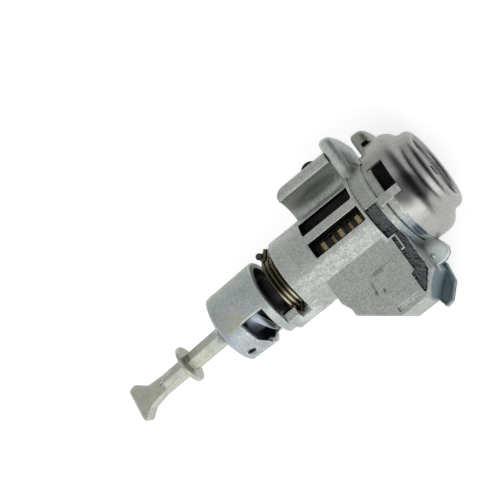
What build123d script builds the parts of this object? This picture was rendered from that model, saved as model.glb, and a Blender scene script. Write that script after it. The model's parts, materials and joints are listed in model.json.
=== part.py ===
from build123d import *
from math import acos, asin, cos, degrees, radians, sin, sqrt
import os

# Door lock cylinder, in millimetres.
# X runs along the lock axis towards the key face, with x = 0 where the face rim
# leaves the cap's shoulder. Z is up in the door, Y points to the side with the arm.

# Plug and its bore
plug_r = 7.22
plug_running_gap = 0.08
bore_r = plug_r + plug_running_gap
plug_turn = 40.0            # degrees each way

# Barrel
barrel_wall = 4.0
barrel_r = bore_r + barrel_wall
barrel_rear_x = -44.5
flange_x = -17.9            # rear face of the flange, front end of the barrel
facet_start_y = -3.7        # the flat along the barrel, between these two sides
facet_end_y = -8.3

# Collar, from the rear flange to the spigot under the cap
flange_r = barrel_r + 1.2
flange_front_x = -16.8
neck_r = barrel_r + 0.7
plate_x = -13.1
plate_front_x = -12.1
plate_r = neck_r + 0.7
ring_r = barrel_r + 2.7
ring_groove_x = -10.9
ring_groove_width = 0.6
ring_groove_depth = 0.8
spigot_x = -9.2
spigot_front_x = -4.9
spigot_r = ring_r + 0.55

# Face cap, a drawn sheet
cap_sheet = 0.7
cap_gap = 0.1
skirt_r = spigot_r + cap_gap + cap_sheet
skirt_clearance = 0.25
skirt_rear_x = -8.0
skirt_front_x = -2.7
shoulder_end_x = -0.35      # before its bend into the rim
rim_front_x = 3.1
rim_wall = 3.1              # from the mouth to the outside of the rim
mouth_gap = 0.6
lip_rear_x = 1.2
cap_bends = (1.6, 0.6, 1.0, 0.9)
cap_notch_low_y = -3.2
cap_notch_high_y = 7.0
cap_notch_x = -5.3
cap_tongue_x = -10.0        # the skirt reaches back to here above the notch
cap_tongue_high_y = 11.0
notch_floor_z = plug_r + 2.58 # over the plug's head

# Windows and wafer grooves
window_rear_x = -34.3
window_front_x = -17.6
window_low_y = -2.3
window_high_y = 2.25
side_window_low_y = 4.75
side_window_high_y = 8.7
wafer_count = 8
wafer_pitch = 2.83
first_wafer_x = -31.7
wafer_thickness = 1.1
wafer_slot_gap = 0.08
wafer_tip_width = 3.0
wafer_side = 1.6            # metal on each side of the wafer's hole
wafer_travel = 0.9
wafer_top = plug_r - 0.1    # tip height with the wafer drawn in
wafer_low_recess = 1.44       # the low tip stops this far inside the plug's surface
wafer_length = wafer_top + plug_r - wafer_low_recess
groove_width = 3.5
groove_r = wafer_top + wafer_travel + 0.35
groove_angle = plug_turn    # the second pair of grooves is this far from the first

# Key way
key_width = 9.0
key_thickness = 3.0

# Block on the -Y side
block_top_z = neck_r - 4.0
block_low_z = -8.3
block_rear_x = -36.8
block_step_x = -35.5
block_rear_y = -15.0
block_step_y = -17.7
block_shoulder_y = -19.8
block_bottom_y = -27.3
block_toe_x = -25.6
block_front_y = -22.2
block_front_x = -16.4
block_edge_r = 0.6
block_slot_x = -22.2        # middle of the shallow slot in the block's top
block_slot_y = -25.4
block_slot_length = 6.6
block_slot_width = 1.5
block_slot_depth = 0.5
toe_low_z = -9.9
toe_reach = 2.6
toe_rim = 0.7

# Arm on the +Y side
arm_rear_x = -35.0
arm_root_z = -3.6
arm_floor_z = 1.2
ridge_inner_y = 17.1
ridge_outer_y = 20.3
ridge_top_z = 6.0
arm_corner_r = 3.2

# Wings, for the slot that the handle base slides into
wing_y = 23.9
wing_front_x = -13.9
wing_top_z = 6.0
wing_low_z = -11.0
wing_rear_r = 1.2
wing_front_r = 2.2
wing_corner_r = 2.4         # of both wings, seen along the axis
wing_seat_step = 0.2        # the collar's side of the wing's face lies this much lower
front_wing_y = 20.2
front_wing_x = -10.6
front_wing_front_x = -6.3
front_wing_top_z = 3.2
front_wing_rear_r = 0.8
front_wing_front_r = 2.2
ear_top_z = 0.0
ear_thickness = 3.2

# Rib along the top of the collar
rib_low_y = -3.0
rib_high_y = -0.6
rib_rear_x = plate_x
rib_front_x = -5.4
rib_top_z = spigot_r + 0.35

# Foam pad, and the thin hook over it
foam_gap = 0.1
foam_depth = 2.6
foam_stand = 0.2
tab_x = -16.1               # the block's tab beside the foam, between these two sides
tab_high_y = -9.1
tab_low_y = -19.8
channel_rear_x = -17.3      # below the tab
hook_x = -14.45
hook_length = 4.6
hook_strip = 0.42
hook_thickness = 0.3

# Rear end of the barrel
stop_arm_length = 7.2
stop_arm_root = 3.0
stop_arm_r = barrel_r + 0.15
stop_arm_low_z = -7.5
stop_arm_top_z = 6.0
spring_notch_x = barrel_rear_x - 0.3
spring_notch_width = 3.3
spring_notch_depth = 2.0
tongue_length = 5.9
tongue_low_z = -6.0
tongue_top_z = -1.2
stop_pin_r = 0.95
stop_pin_x = barrel_rear_x - 4.6
stop_pin_y = plug_r + 2.88
stop_pin_height = 3.8
stop_pin_seat = 2.0
turn_stop_r = plug_r + 1.18
turn_stop_depth = 1.9
turn_stop_width = 44.0      # degrees
turn_stop_angle = 270.0
stop_clearance = 2.0        # degrees left at each end of the turn

# Plug details
head_r = plug_r + 2.28
head_rear_x = -6.2
head_front_x = -3.6
head_gap = 0.1
tail_r = 5.4
tail_flat_z = 4.1
circlip_x = barrel_rear_x - 1.0
circlip_thickness = 0.8
circlip_r = plug_r + 0.18
circlip_groove_r = tail_r - 0.8

# Plug face and shutter
face_r = plug_r + 1.08
face_front_x = 1.5
face_sheet = 0.8
shutter_thickness = 0.5
shutter_pin_r = 0.4
mouth_r = face_r + mouth_gap
rim_r = mouth_r + rim_wall

# Tail lever
lever_front_x = barrel_rear_x - stop_arm_length - 0.3
lever_inner_r = plug_r + 1.68
lever_r_front = lever_inner_r + 1.7
lever_r_rear = lever_inner_r + 1.3
lever_cup_depth = 10.4
lever_length = 18.0
lever_gap = 0.08
lever_hub_x = lever_front_x - lever_cup_depth
lever_rear_x = lever_front_x - lever_length
window_gap_x = 2.5          # from the cup's front to its window
lever_window_front_x = lever_front_x - window_gap_x
lever_window_rear_x = lever_hub_x + 0.6
lever_side_front_x = lever_front_x - 8.2
lever_facet_top = (-8.4, 5.7)
lever_facet_low = (-10.2, 0.0)
roll_pin_x = lever_front_x - 13.25
roll_pin_z = 3.4
roll_pin_r = 1.3
roll_pin_wall = 0.35
roll_pin_half_length = 8.4
rod_r = 2.9
rod_length = 21.6
rod_lean = 0.75             # the rod's end lies this far to the -Y side
disc_x = lever_front_x - 31.0
disc_r = 5.5
disc_thickness = 1.1
spade_length = 19.0
spade_thickness = 3.8
spade_edge = 0.5
tail_end_x = lever_rear_x + 1.8

# Return spring
spring_wire = 1.2
spring_r = circlip_r + 0.15 + spring_wire / 2
spring_x = barrel_rear_x - 4.4
spring_pitch = 1.28
spring_whole_turns = 2
spring_low_leg_angle = 149.0
spring_high_leg_angle = 14.0
spring_leg_reach = 3.75
spring_high_leg_slant = 2.6
spring_low_leg_slant = -1.3
stop_arm_inner_r = spring_r + spring_wire / 2 + 0.75

# Rubber pieces
gasket_inner_r = spigot_r - 4.15
gasket_outer_r = spigot_r - 1.95
gasket_thickness = 1.2
notch_liner = 0.4
bumper_r = 2.5
bumper_edge = 0.5
bumper_height = 1.9
bumper_stem_r = 1.2
bumper_stem_depth = 2.4
bumper_x = -24.2
bumper_z = 0.9

# Wafer holes, ears and springs
wafer_hole_width = key_thickness + 0.4
wafer_hole_height = key_width - 0.4
wafer_width = wafer_hole_width + 2 * wafer_side
wafer_shoulder_z = wafer_hole_height / 2 + 0.8
ear_reach = 1.5
ear_half_z = 0.7
pocket_half_z = 4.1
wafer_spring_r = 0.6
wafer_wire_r = 0.13
wafer_spring_turns = 5

# Shutter places
shutter_pin_x = -0.55
shutter_pin_y = key_thickness / 2 + 1.1
shutter_half_z = key_width / 2 + 0.1
shutter_pin_half_z = shutter_half_z + 1.0
shutter_knuckle_r = 0.8
shutter_spring_half_z = 1.5
shutter_recess_x = -5.0


def turned(points):
    """Closed profile of (x, r) points, turned about the lock axis."""
    with BuildSketch(Plane.XY) as profile:
        with BuildLine():
            Polyline(points, close=True)
        make_face()
    return revolve(profile.sketch, axis=Axis.X, mode=Mode.PRIVATE)


def sector(inner_r, outer_r, start, size, x_low, x_high):
    """Part of a ring about the lock axis, from x_low to x_high; angles turn from +Y to +Z."""
    reach = 2 * outer_r
    steps = max(2, int(size // 60) + 1)
    angles = [start + size * i / steps for i in range(steps + 1)]
    points = [(0, 0)] + [(reach * cos(radians(a)), reach * sin(radians(a))) for a in angles]
    with BuildSketch(Plane.YZ.offset(x_low)) as wedge:
        Circle(outer_r)
        if inner_r > 0:
            Circle(inner_r, mode=Mode.SUBTRACT)
        with BuildLine():
            Polyline(points, close=True)
        make_face(mode=Mode.INTERSECT)
    return extrude(wedge.sketch, amount=x_high - x_low, mode=Mode.PRIVATE)


def slab(x_low, x_high, y_low, y_high, z_low, z_high):
    """Box between six planes."""
    place = Pos((x_low + x_high) / 2, (y_low + y_high) / 2, (z_low + z_high) / 2)
    return place * Box(x_high - x_low, y_high - y_low, z_high - z_low, mode=Mode.PRIVATE)


def plan(points, z_low, z_high, corner_r=0):
    """Outline seen from above, between two heights, with rounded corners if wanted."""
    with BuildSketch(Plane.XY.offset(z_low)) as outline:
        with BuildLine():
            Polyline(points, close=True)
        make_face()
        if corner_r:
            fillet(outline.vertices(), corner_r)
    return extrude(outline.sketch, amount=z_high - z_low, mode=Mode.PRIVATE)


def section(points, x_low, x_high):
    """Outline of (y, z) points seen along the lock axis, between two stations."""
    with BuildSketch(Plane.YZ.offset(x_low)) as outline:
        with BuildLine():
            Polyline(points, close=True)
        make_face()
    return extrude(outline.sketch, amount=x_high - x_low, mode=Mode.PRIVATE)


def along_y(x, z, radius, half_length):
    """Round bar across the lock axis."""
    return Pos(x, 0, z) * Rot(90, 0, 0) * Cylinder(radius, 2 * half_length, mode=Mode.PRIVATE)


def wing(x_low, x_high, outer_y, bulge_z, low_z, top_z, rear_r, front_r):
    """Plate on the +Y side with a curved outer edge, rounded along both rims."""
    with BuildPart(mode=Mode.PRIVATE) as plate:
        with BuildSketch(Plane.YZ.offset(x_low)) as outline:
            with BuildLine():
                Polyline((outer_y - 0.7, top_z), (0, top_z), (0, low_z), (outer_y - 1.4, low_z))
                ThreePointArc((outer_y - 1.4, low_z), (outer_y, bulge_z), (outer_y - 0.7, top_z))
            make_face()
            fillet(outline.vertices().sort_by(Axis.Y)[-2:], wing_corner_r)
        extrude(amount=x_high - x_low)
        for place, radius in ((0, rear_r), (-1, front_r)):
            rim = plate.faces().sort_by(Axis.X)[place].edges()
            fillet([e for e in rim if e.center().Y > 0.1 and e.center().Z > low_z + 0.1], radius)
    return plate.part


def on_circle(r, y):
    """Height of a circle about the axis at the given y."""
    return sqrt(r * r - y * y)


def channel_outline(gap):
    """Level part of the foam channel over the block, drawn in by a gap all round."""
    start_y = -channel_r * 0.62 - gap
    return [
        (flange_front_x + gap, start_y), (flange_front_x + gap, tab_high_y + gap),
        (tab_x + gap, tab_high_y + gap), (tab_x + gap, tab_low_y - gap),
        (channel_rear_x + gap, tab_low_y - gap),
        (channel_rear_x + gap, block_bottom_y + 1.7 + 2 * gap),
        (flange_front_x + gap, block_bottom_y + 1.3 + 3 * gap),
        (plate_x - gap, block_front_y + 0.6 + 3 * gap), (plate_x - gap, start_y),
    ]


channel_r = neck_r - foam_depth
channel_z = block_top_z - foam_depth
wafer_xs = [first_wafer_x + i * wafer_pitch for i in range(wafer_count)]
os.makedirs("parts", exist_ok=True)

# Housing: the zinc casting
arm_floor_y = on_circle(barrel_r, arm_floor_z)
with BuildPart() as block:
    add(plan([
        (block_rear_x, 0), (block_rear_x, block_rear_y), (block_step_x, block_step_y),
        (block_step_x, block_shoulder_y), (block_toe_x, block_bottom_y),
        (block_front_x - 1.6, block_bottom_y), (block_front_x, block_bottom_y + 1.2),
        (plate_front_x, block_front_y), (plate_front_x, 0),
    ], block_low_z, block_top_z))
    rounded = block.edges().filter_by(Axis.Z).filter_by(lambda e: e.center().Y < -1)
    fillet(rounded, block_edge_r)
    top_rim = block.edges().group_by(Axis.Z)[-1].filter_by(lambda e: e.center().Y < -1)
    fillet(top_rim.filter_by(lambda e: e.center().X < plate_front_x - 0.1), block_edge_r * 0.6)
    # shallow slot in the top
    with Locations((block_slot_x, block_slot_y, block_top_z)):
        Box(block_slot_length, block_slot_width, 2 * block_slot_depth, mode=Mode.SUBTRACT)

with BuildPart() as housing:
    add(turned([
        (barrel_rear_x, 0), (barrel_rear_x, barrel_r), (flange_x, barrel_r),
        (flange_x, flange_r), (flange_front_x, flange_r), (flange_front_x, neck_r),
        (plate_x, neck_r), (plate_x, plate_r), (plate_front_x, plate_r),
        (plate_front_x, ring_r), (spigot_x, ring_r), (spigot_x, spigot_r),
        (spigot_front_x, spigot_r), (spigot_front_x, 0),
    ]))
    # flat along the barrel, where it runs into the block
    facet_start = 180 - degrees(acos(-facet_start_y / barrel_r))
    facet_end = 180 - degrees(acos(-facet_end_y / barrel_r))
    facet_distance = barrel_r * cos(radians((facet_end - facet_start) / 2))
    add(Rot((facet_start + facet_end) / 2, 0, 0)
        * slab(barrel_rear_x - 1, flange_x, facet_distance, 2 * barrel_r, -barrel_r, barrel_r),
        mode=Mode.SUBTRACT)
    # the top of the collar is lower on the arm's side, up to the rib
    rib_angle = 90 - degrees(asin(rib_high_y / ring_r))
    add(sector(plate_r - 0.3, ring_r + 1, 5, rib_angle - 5, plate_x, plate_front_x),
        mode=Mode.SUBTRACT)
    add(sector(neck_r, ring_r + 1, 5, rib_angle - 5, plate_front_x, spigot_x),
        mode=Mode.SUBTRACT)
    # groove between the two rings
    add(turned([(ring_groove_x, ring_r - ring_groove_depth), (ring_groove_x, ring_r + 1),
                (ring_groove_x + ring_groove_width, ring_r + 1),
                (ring_groove_x + ring_groove_width, ring_r - ring_groove_depth)]),
        mode=Mode.SUBTRACT)
    add(block.part)
    # toe along the block's lower front edge, with a raised rim
    toe = [
        (block_front_x - 2.2, block_bottom_y), (block_front_x - 1.6, block_bottom_y - toe_reach),
        (block_front_x + 0.6, block_bottom_y - toe_reach + 0.4),
        (plate_front_x, block_front_y - 3.6), (plate_front_x + 0.8, block_front_y + 1.6),
        (plate_front_x, block_front_y + 4), (block_front_x - 4, block_bottom_y + 4),
    ]
    add(plan(toe, toe_low_z, block_low_z + toe_rim))
    add(plan([
        (block_front_x - 2.2, block_bottom_y + 1),
        (block_front_x - 1.2, block_bottom_y - toe_reach + toe_rim),
        (block_front_x + 0.3, block_bottom_y - toe_reach + toe_rim + 0.4),
        (plate_front_x - toe_rim, block_front_y - 3.5),
        (plate_front_x - 0.3, block_front_y - 0.6), (block_front_x, block_bottom_y + 1.2),
    ], block_low_z, block_low_z + 2 * toe_rim) - block.part, mode=Mode.SUBTRACT)
    # ear beside the collar
    add(plan([
        (plate_front_x - 0.5, -10), (skirt_rear_x - 0.4, -10), (skirt_rear_x - 0.4, -14.9),
        (-7.7, -16.5), (-7.1, -18.4), (-7.8, -20.1), (-9.8, -21.0), (plate_front_x - 0.5, -20.9),
    ], ear_top_z - ear_thickness, ear_top_z, 0.3))
    with Locations((-11.6, -18.4, ear_top_z)):
        Sphere(0.55)
    # arm: web, concave channel and upstanding ridge
    with BuildSketch(Plane.YZ.offset(arm_rear_x)):
        with BuildLine():
            Polyline((0, arm_root_z), (ridge_outer_y, arm_root_z), (ridge_outer_y, ridge_top_z - 1))
            ThreePointArc((ridge_outer_y, ridge_top_z - 1),
                          ((ridge_outer_y + ridge_inner_y) / 2 + 0.4, ridge_top_z + 0.1),
                          (ridge_inner_y, ridge_top_z))
            ThreePointArc((ridge_inner_y, ridge_top_z),
                          ((ridge_inner_y + arm_floor_y) / 2 + 0.9, arm_floor_z + 1.0),
                          (arm_floor_y - 0.3, arm_floor_z))
            Polyline((arm_floor_y - 0.3, arm_floor_z), (0, arm_floor_z), (0, arm_root_z))
        make_face()
    extrude(amount=flange_x - arm_rear_x)
    corner_x, corner_y = arm_rear_x + arm_corner_r, ridge_outer_y - arm_corner_r
    add(slab(arm_rear_x - 1, corner_x, corner_y, ridge_outer_y + 1, arm_root_z - 1, ridge_top_z + 1)
        - Pos(corner_x, corner_y) * Cylinder(arm_corner_r, 6 * ridge_top_z, mode=Mode.PRIVATE),
        mode=Mode.SUBTRACT)
    # wings
    add(wing(flange_x, wing_front_x, wing_y, -2, wing_low_z, wing_top_z,
             wing_rear_r, wing_front_r))
    add(wing(front_wing_x, front_wing_front_x, front_wing_y, -5, wing_low_z, front_wing_top_z,
             front_wing_rear_r, front_wing_front_r))
    # the wing's seat stands proud of its root
    add(turned([(wing_front_x - wing_seat_step, neck_r),
                (wing_front_x - wing_seat_step, ring_r + 0.2), (wing_front_x + 0.1, ring_r + 0.2),
                (wing_front_x + 0.1, neck_r)])
        & slab(flange_x, plate_front_x, 0, wing_y, wing_low_z - 1, wing_top_z + 1),
        mode=Mode.SUBTRACT)
    # pocket in the front wing, beside the cap
    add(slab(skirt_rear_x - 0.9, skirt_rear_x + 1.0, skirt_r - 0.4, skirt_r + 0.9, -2,
             front_wing_top_z + 1), mode=Mode.SUBTRACT)
    # room for the cap's skirt all round
    add(turned([(skirt_rear_x - skirt_clearance, spigot_r),
                (skirt_rear_x - skirt_clearance, skirt_r + skirt_clearance),
                (0, skirt_r + skirt_clearance), (0, spigot_r)]), mode=Mode.SUBTRACT)
    # rib along the top of the collar
    add(slab(rib_rear_x, rib_front_x, rib_low_y, rib_high_y, bore_r, rib_top_z)
        & turned([(rib_rear_x, 0), (rib_rear_x, neck_r + 1.1), (plate_front_x, ring_r + 0.6),
                  (rib_front_x, rib_top_z), (rib_front_x, 0)]))
    # stop arm and tongue behind the barrel
    stop_arm_rear_x = barrel_rear_x - stop_arm_length
    add(sector(stop_arm_inner_r, stop_arm_r, 130, 90, stop_arm_rear_x,
               barrel_rear_x + stop_arm_root)
        & slab(stop_arm_rear_x, barrel_rear_x + stop_arm_root, -stop_arm_r - 1, 0,
               stop_arm_low_z, stop_arm_top_z))
    add(slab(spring_notch_x - spring_notch_width, spring_notch_x, -stop_arm_r - 1, 0,
             stop_arm_top_z - spring_notch_depth, stop_arm_top_z + 1), mode=Mode.SUBTRACT)
    tongue_rear_x = barrel_rear_x - tongue_length
    add(sector(spring_r + spring_wire / 2 + 0.2, barrel_r, -50, 60, tongue_rear_x,
               barrel_rear_x + 1)
        & slab(tongue_rear_x, barrel_rear_x + 1, 0, barrel_r, tongue_low_z, tongue_top_z))
    add(Pos(stop_pin_x, stop_pin_y, tongue_top_z) * Cylinder(
        stop_pin_r, 2 * stop_pin_seat, mode=Mode.PRIVATE), mode=Mode.SUBTRACT)
    # bore and counterbores
    add(turned([(barrel_rear_x - 1, 0), (barrel_rear_x - 1, bore_r),
                (head_rear_x - head_gap, bore_r), (head_rear_x - head_gap, head_r + head_gap),
                (0, head_r + head_gap), (0, 0)]), mode=Mode.SUBTRACT)
    stop_reach = turn_stop_width / 2 + plug_turn + stop_clearance
    add(sector(0, turn_stop_r, turn_stop_angle - stop_reach, 2 * stop_reach,
               barrel_rear_x, barrel_rear_x + turn_stop_depth), mode=Mode.SUBTRACT)
    # grooves that the wafers spring into, two pairs
    for angle in (0, -groove_angle):
        groove = slab(window_rear_x, head_rear_x - 1.5, -groove_width / 2, groove_width / 2,
                      -groove_r, groove_r)
        add(Rot(angle, 0, 0) * groove, mode=Mode.SUBTRACT)
    # hole for the bumper's stem
    add(Pos(bumper_x, ridge_outer_y, bumper_z) * Rot(90, 0, 0) * Cylinder(
        bumper_stem_r, 2 * bumper_stem_depth, mode=Mode.PRIVATE), mode=Mode.SUBTRACT)
    # windows, open to the top
    for low, high in ((window_low_y, window_high_y), (side_window_low_y, side_window_high_y)):
        add(slab(window_rear_x, window_front_x, low, high, bore_r / 2, flange_r + 2),
            mode=Mode.SUBTRACT)
    # channel for the foam pad: round the collar, then level over the block
    add(sector(channel_r, ring_r + 1, 90 + degrees(asin(-rib_high_y / ring_r)), 37,
               flange_front_x, plate_x), mode=Mode.SUBTRACT)
    add(plan(channel_outline(0), channel_z, block_top_z + 3), mode=Mode.SUBTRACT)
    # thin hook over the foam
    hook_z = block_top_z + foam_stand + 0.05
    hook_y, hook_end_y = tab_high_y - 0.05, tab_high_y - 0.05 - hook_length
    add(plan([
        (tab_x - 1.1, hook_y), (hook_x, hook_y), (hook_x, hook_end_y),
        (hook_x - 1.25, hook_end_y), (hook_x - 1.25, hook_end_y + hook_strip),
        (hook_x - hook_strip, hook_end_y + hook_strip), (hook_x - hook_strip, hook_y - hook_strip),
        (tab_x - 1.1, hook_y - hook_strip),
    ], hook_z, hook_z + hook_thickness, 0.12))
    add(slab(tab_x - 1.0, tab_x - 0.1, hook_y - hook_strip, hook_y, block_top_z - 1,
             hook_z + hook_thickness))
    # opening under the cap's notch
    add(slab(spigot_x - notch_liner, spigot_front_x, rib_high_y, cap_notch_high_y + notch_liner,
             notch_floor_z, spigot_r + 1), mode=Mode.SUBTRACT)
housing.part.label = "housing"
export_step(housing.part, "parts/housing.step")

# Face cap: drawn stainless sheet over the collar's front end
with BuildPart() as face_cap:
    sheet_mid = cap_sheet / 2
    with BuildSketch(Plane.XY) as cap_profile:
        with BuildLine() as cap_line:
            FilletPolyline(
                (skirt_rear_x, skirt_r - sheet_mid), (skirt_front_x, skirt_r - sheet_mid),
                (shoulder_end_x, rim_r - sheet_mid), (rim_front_x - sheet_mid, rim_r - sheet_mid),
                (rim_front_x - sheet_mid, mouth_r + sheet_mid), (lip_rear_x, mouth_r + sheet_mid),
                radius=cap_bends)
        trace(cap_line.line, line_width=cap_sheet)
    revolve(axis=Axis.X)
    add(slab(skirt_rear_x - 1, cap_notch_x, cap_notch_low_y, cap_notch_high_y,
             spigot_r / 2, skirt_r + 1), mode=Mode.SUBTRACT)
    tongue_start = degrees(acos(cap_tongue_high_y / skirt_r))
    tongue_end = degrees(acos(cap_notch_high_y / skirt_r))
    add(sector(skirt_r - cap_sheet, skirt_r, tongue_start, tongue_end - tongue_start,
               cap_tongue_x, skirt_rear_x + 1))
face_cap.part.label = "face_cap"
export_step(face_cap.part, "parts/face_cap.step")

# Rubber ring between the spigot and the cap's shoulder, and the liner of the cap's notch
with BuildPart() as cap_gasket:
    add(turned([(spigot_front_x, gasket_inner_r), (spigot_front_x, gasket_outer_r),
                (spigot_front_x + gasket_thickness, gasket_outer_r - 0.4),
                (spigot_front_x + gasket_thickness, gasket_inner_r)]))
    liner_rear_x = spigot_x - notch_liner + 0.04
    liner_high_y = cap_notch_high_y + notch_liner - 0.04
    add(slab(liner_rear_x, spigot_front_x + 0.5, rib_high_y + 0.04, liner_high_y,
             notch_floor_z + 0.04, notch_floor_z + notch_liner))
    add(slab(liner_rear_x, spigot_x - 0.04, rib_high_y + 0.04, liner_high_y,
             notch_floor_z + 0.04, neck_r)
        & turned([(liner_rear_x, 0), (liner_rear_x, neck_r - 0.1),
                  (spigot_x, neck_r - 0.1), (spigot_x, 0)]))
    add(slab(spigot_x - 0.1, spigot_front_x, cap_notch_high_y + 0.04, liner_high_y,
             notch_floor_z + 0.04, on_circle(spigot_r, liner_high_y) - 0.2))
cap_gasket.part.label = "cap_gasket"
export_step(cap_gasket.part, "parts/cap_gasket.step")

# Foam pad in its channel
with BuildPart() as foam_pad:
    foam_rear_x = flange_front_x + foam_gap
    add(sector(channel_r + foam_gap, neck_r + foam_stand,
               90.5 + degrees(asin(-rib_high_y / channel_r)), 34, foam_rear_x,
               plate_x - foam_gap))
    add(plan(channel_outline(foam_gap), channel_z + foam_gap, block_top_z + foam_stand)
        - turned([(foam_rear_x - 1, 0), (foam_rear_x - 1, channel_r + foam_gap),
                  (plate_x, channel_r + foam_gap), (plate_x, 0)]))
foam_pad.part.label = "foam_pad"
export_step(foam_pad.part, "parts/foam_pad.step")

# Rubber bumper on the outside of the arm
dome_rise = bumper_height - bumper_edge
dome_r = (bumper_r ** 2 + dome_rise ** 2) / (2 * dome_rise)
with BuildPart() as bumper:
    with BuildSketch(Plane.XY) as bumper_profile:
        with BuildLine():
            Polyline((0, -bumper_stem_depth), (bumper_stem_r, -bumper_stem_depth),
                     (bumper_stem_r, 0), (bumper_r, 0), (bumper_r, bumper_edge))
            RadiusArc((bumper_r, bumper_edge), (0, bumper_height), -dome_r)
            Line((0, bumper_height), (0, -bumper_stem_depth))
        make_face()
    revolve(axis=Axis.Y)
bumper.part.locate(Location((bumper_x, ridge_outer_y, bumper_z)))
bumper.part.label = "bumper"
export_step(bumper.part, "parts/bumper.step")

# Stop pin for the return spring
with BuildPart() as stop_pin:
    with Locations((stop_pin_x, stop_pin_y, 0)):
        Cylinder(stop_pin_r, stop_pin_seat + stop_pin_height,
                 align=(Align.CENTER, Align.CENTER, Align.MIN))
    chamfer(stop_pin.edges().group_by(Axis.Z)[-1], 0.25)
stop_pin.part.locate(Location((0, 0, tongue_top_z - stop_pin_seat)))
stop_pin.part.label = "stop_pin"
export_step(stop_pin.part, "parts/stop_pin.step")

# Plug: head, body with wafer slots, neck and flatted tail
ear_pocket_y = wafer_width / 2 + ear_reach
with BuildPart() as plug:
    circlip_front_x = circlip_x + circlip_thickness
    add(turned([
        (tail_end_x, 0), (tail_end_x, tail_r), (circlip_x, tail_r),
        (circlip_x, circlip_groove_r), (circlip_front_x, circlip_groove_r),
        (circlip_front_x, plug_r), (head_rear_x, plug_r), (head_rear_x, head_r),
        (head_front_x, head_r), (head_front_x, 0),
    ]))
    # two flats on the tail
    for side in (1, -1):
        add(slab(tail_end_x - 1, lever_hub_x + 0.6, -plug_r, plug_r,
                 min(side * tail_flat_z, side * plug_r), max(side * tail_flat_z, side * plug_r)),
            mode=Mode.SUBTRACT)
    # groove that the roll pin crosses
    add(along_y(roll_pin_x, roll_pin_z, roll_pin_r + 0.02, 2 * plug_r), mode=Mode.SUBTRACT)
    # turn stop
    add(sector(plug_r - 1, turn_stop_r - 0.2, turn_stop_angle - turn_stop_width / 2,
               turn_stop_width, circlip_front_x + 0.3, barrel_rear_x + turn_stop_depth - 0.2))
    # driving horn inside the lever
    horn_x = lever_front_x - 7.8
    add(plan([(horn_x, 2.0), (horn_x, -2.0), (horn_x + 2.9, -8.0), (horn_x + 4.4, -7.6),
              (horn_x + 2.8, -2.0), (horn_x + 2.8, 2.0)], 0, lever_inner_r)
        & turned([(lever_hub_x, tail_r - 0.5), (lever_hub_x, lever_inner_r - 0.3),
                  (lever_front_x, lever_inner_r - 0.3), (lever_front_x, tail_r - 0.5)]))
    # wafer slots, with a pocket for each wafer's ear and spring
    slot_half = wafer_thickness / 2 + wafer_slot_gap
    body_half_z = wafer_shoulder_z + wafer_travel + 0.15
    for x in wafer_xs:
        add(slab(x - slot_half, x + slot_half, -wafer_tip_width / 2 - 0.1,
                 wafer_tip_width / 2 + 0.1, -plug_r - 1, plug_r + 1), mode=Mode.SUBTRACT)
        add(slab(x - slot_half, x + slot_half, -wafer_width / 2 - 0.1, wafer_width / 2 + 0.1,
                 -body_half_z, body_half_z), mode=Mode.SUBTRACT)
        add(slab(x - slot_half, x + slot_half, 0, ear_pocket_y + 0.1,
                 -pocket_half_z, pocket_half_z), mode=Mode.SUBTRACT)
    # key way
    add(slab(wafer_xs[0] - 4, 0, -key_thickness / 2, key_thickness / 2,
             -key_width / 2, key_width / 2), mode=Mode.SUBTRACT)
    # recess for the shutter in the head
    add(slab(shutter_recess_x, 0, -key_thickness / 2 - 0.2, shutter_pin_y + 0.9,
             -shutter_half_z - 0.2, shutter_half_z + 0.2), mode=Mode.SUBTRACT)
plug.part.label = "plug"
export_step(plug.part, "parts/plug.step")

# Circlip behind the barrel
with BuildPart() as circlip:
    with BuildSketch(Plane.YZ.offset(circlip_x)):
        Circle(circlip_r)
        Circle(circlip_groove_r + 0.05, mode=Mode.SUBTRACT)
        with Locations((0, -circlip_r / 2 - 1)):
            Rectangle(circlip_groove_r * 1.4, circlip_r + 2, mode=Mode.SUBTRACT)
    extrude(amount=circlip_thickness)
circlip.part.label = "circlip"
export_step(circlip.part, "parts/circlip.step")

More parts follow.
